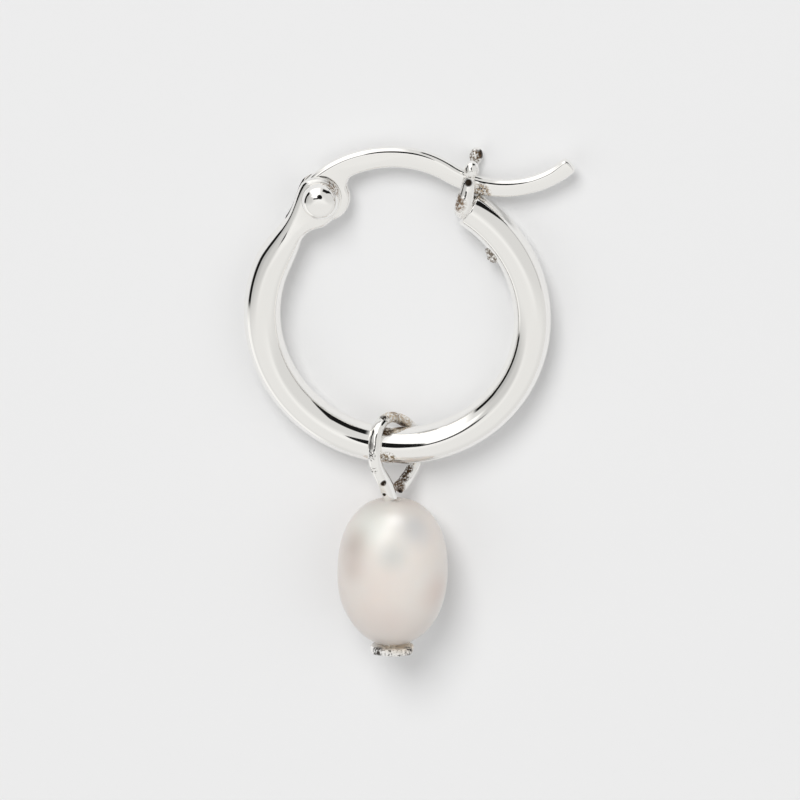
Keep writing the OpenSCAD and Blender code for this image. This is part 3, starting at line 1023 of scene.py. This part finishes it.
# %% The windows and cards
# Azimuth is measured from +Y towards +X, and elevation from the table, both in degrees. Overhead
# windows are measured by the direction's own X and Y, and the opening by its distance from a place.
# Each one: what it is measured in, its two spans, its softness and its brightness
windows = [
    ("sky", -200, 200, -30, 20, 14, 0.77),
    ("overhead", -0.55, 0.55, -0.14, 0.60, 0.16, 0.96),
    ("sky", -108, -58, -10, 70, 14, 0.64),
    ("sky", -98, -66, -10, 32, 11, 0.50),
    ("sky", 6, 100, -10, 74, 16, 0.73),
    ("sky", -155, -107, -12, 11, 4, 1.00),
    ("sky", -50, 0, -12, 76, 5, 1.25),
    ("sky", -62, -30, 42, 76, 6, 1.25),
    ("sky", -103, -64, -4, 14.5, 1.8, 0.01),
    ("sky", -71, -55, -8, 17, 1.8, 0.01),
    ("sky", 13, 39, -2, 28, 1.8, 0.01),
    ("wedge", 37, 58, -12, 29, 1.8, 0.01),
    ("sky", 53, 92, 0, 3, 1.5, 0.35),
    ("opening", -1, 1, -1, 1, 0.05, 0.01),
    ("overhead", -0.41, -0.12, 0.065, 0.185, 0.02, 0.01),
]
opening_at = (-0.035, 0.30, 0)
opening_size = (0.165, 0.23, 1)
# The wedge's top falls by this many degrees for each degree of azimuth past its start
wedge_fall, wedge_start = 1.6, 38.0


def studio_sky(tent=0.84, plain=0.84, ambient=0.30):
    """The tent as mirrors see it, a plain tone for the camera, and a dimmer one that lights the table."""
    world = bpy.data.worlds.new("studio tent")
    bpy.context.scene.world = world
    world.use_nodes = True
    tree = world.node_tree
    way = add(tree, "ShaderNodeTexCoord").outputs["Generated"]
    x, y, z = add(tree, "ShaderNodeSeparateXYZ", Vector=way).outputs
    azimuth = calc(tree, "DEGREES", calc(tree, "ARCTAN2", x, y))
    elevation = calc(tree, "DEGREES", calc(tree, "ARCSINE", z))
    fall = calc(tree, "MULTIPLY_ADD", azimuth, wedge_fall, -wedge_fall * wedge_start)
    raised = calc(tree, "ADD", elevation, fall)
    level = add(tree, "ShaderNodeCombineXYZ", X=x, Y=y).outputs["Vector"]
    aside = calc(tree, "SUBTRACT", level, opening_at, kind="ShaderNodeVectorMath")
    share = calc(tree, "DIVIDE", aside, opening_size, kind="ShaderNodeVectorMath")
    ring = calc(tree, "LENGTH", share, kind="ShaderNodeVectorMath")
    measures = {
        "sky": (azimuth, elevation), "wedge": (azimuth, raised), "overhead": (x, y), "opening": (ring, 0),
    }
    value = tent
    for kind, *numbers, bright in windows:
        window = add(tree, "ShaderNodeGroup", {"node_tree": studio_window})
        labels = ("First", "Second", *span_names, "Softness")
        for label, number in zip(labels, (*measures[kind], *numbers)):
            feed(tree, window.inputs[label], number)
        value = blend(tree, "FLOAT", window.outputs["Mask"], value, bright)
    warm = add(tree, "ShaderNodeVectorMath", {"operation": "SCALE"}, Scale=value)
    warm.inputs[0].default_value = (1.0, 0.995, 0.98)
    rays = add(tree, "ShaderNodeLightPath").outputs
    lit = blend(tree, "RGBA", rays["Is Camera Ray"], (*[ambient] * 3, 1), (*[plain] * 3, 1))
    seen = blend(tree, "RGBA", rays["Is Glossy Ray"], lit, warm.outputs["Vector"])
    tree.links.new(seen, tree.nodes["Background"].inputs["Color"])


studio_sky()
print("windows and cards:", len(windows))

# %% [markdown]
# ## The lamps
# The tent alone would give hardly any shadow. A large round lamp from the upper left draws the soft
# shadow beside each piece, and two broad lamps without shadows lift the table to its pale tone. They
# are kept out of the reflections, because the tent is what the silver shows. The pearl's lustre comes
# from two glints that only the pearl sees.
# %% The lamps
def sky_way(azimuth, elevation):
    """A direction from its azimuth (from +Y towards +X) and its elevation, both in degrees."""
    az, el = math.radians(azimuth), math.radians(elevation)
    return Vector((math.sin(az) * math.cos(el), math.cos(az) * math.cos(el), math.sin(el)))


def lamp(name, kind, azimuth, elevation, energy, away=0.5):
    """A lamp that shines at the earring from a place in the sky, and isn't seen in the metal."""
    data = bpy.data.lights.new(name, kind)
    data.energy = energy
    piece = bpy.data.objects.new(name, data)
    way = sky_way(azimuth, elevation)
    piece.location = way * away
    piece.rotation_mode = "QUATERNION"
    piece.rotation_quaternion = way.to_track_quat("Z", "Y")
    piece.visible_glossy = False
    bpy.context.scene.collection.objects.link(piece)
    return piece


key = lamp("key_lamp", "AREA", -14, 50, 85.0, away=4.0).data
key.shape = "DISK"
key.size = 1.85
for side_name, side_azimuth, side_energy in (("right", 75, 0.94), ("left", -105, 0.66)):
    fill = lamp(f"fill_lamp_{side_name}", "SUN", side_azimuth, 45, side_energy).data
    fill.angle = math.radians(60)
    fill.use_shadow = False

# %% The glints
pearl_only = bpy.data.collections.new("pearl only")
pearl_only.objects.link(pearl)
# Azimuth, elevation, power, width, length and turn of each glint
glints = {
    "low": (4, 4, 1.25, 0.28, 0.30, 0),
    "high": (-20, 40, 0.60, 0.24, 0.40, -32),
}
for glint_name, (azimuth, elevation, energy, width, length, twist) in glints.items():
    glint = lamp(f"glint_lamp_{glint_name}", "AREA", azimuth, elevation, energy)
    glint.data.shape = "ELLIPSE"
    glint.data.size, glint.data.size_y = width, length
    glint.rotation_quaternion @= Matrix.Rotation(math.radians(twist), 3, "Z").to_quaternion()
    glint.visible_glossy = True
    glint.visible_diffuse = False
    glint.light_linking.receiver_collection = pearl_only

# %% [markdown]
# ## The camera
# The photo looks down on the earring, a little from the ear wire's side. A small thing is shot from far
# away with a long lens, so that near and far parts keep the same scale. The camera could be moved by
# hand until the picture fits. Here its direction is given, and its distance and aim are worked out from
# the scale and from the hoop's middle in the 800 pixel picture.
# %% The camera
pixels_per_mm = 18.5
hoop_pixel = (397.1, 316.9)
photo_side = 800
lens = 300.0
towards = sky_way(12.0, 68.5)

camera_data = bpy.data.cameras.new("camera")
camera_data.lens = lens
camera_data.sensor_width = 36.0
camera = bpy.data.objects.new("camera", camera_data)
bpy.context.scene.collection.objects.link(camera)
bpy.context.scene.camera = camera

hoop_up = lay.to_3x3() @ Vector((0, 1, 0))
right = hoop_up.cross(towards).normalized()
up = towards.cross(right)
aim = hoop_middle + right * (photo_side / 2 - hoop_pixel[0]) / pixels_per_mm
aim -= up * (photo_side / 2 - hoop_pixel[1]) / pixels_per_mm
away = photo_side / pixels_per_mm * lens / camera_data.sensor_width
turn = Matrix((right, up, towards)).transposed()
camera.matrix_world = Matrix.Translation((aim + towards * away) * MM) @ turn.to_4x4()
camera_data.clip_start = 0.01
camera_data.clip_end = 5.0
print("camera is", round(away), "mm away")

# %% Colours on screen
bpy.context.scene.view_settings.view_transform = "Standard"
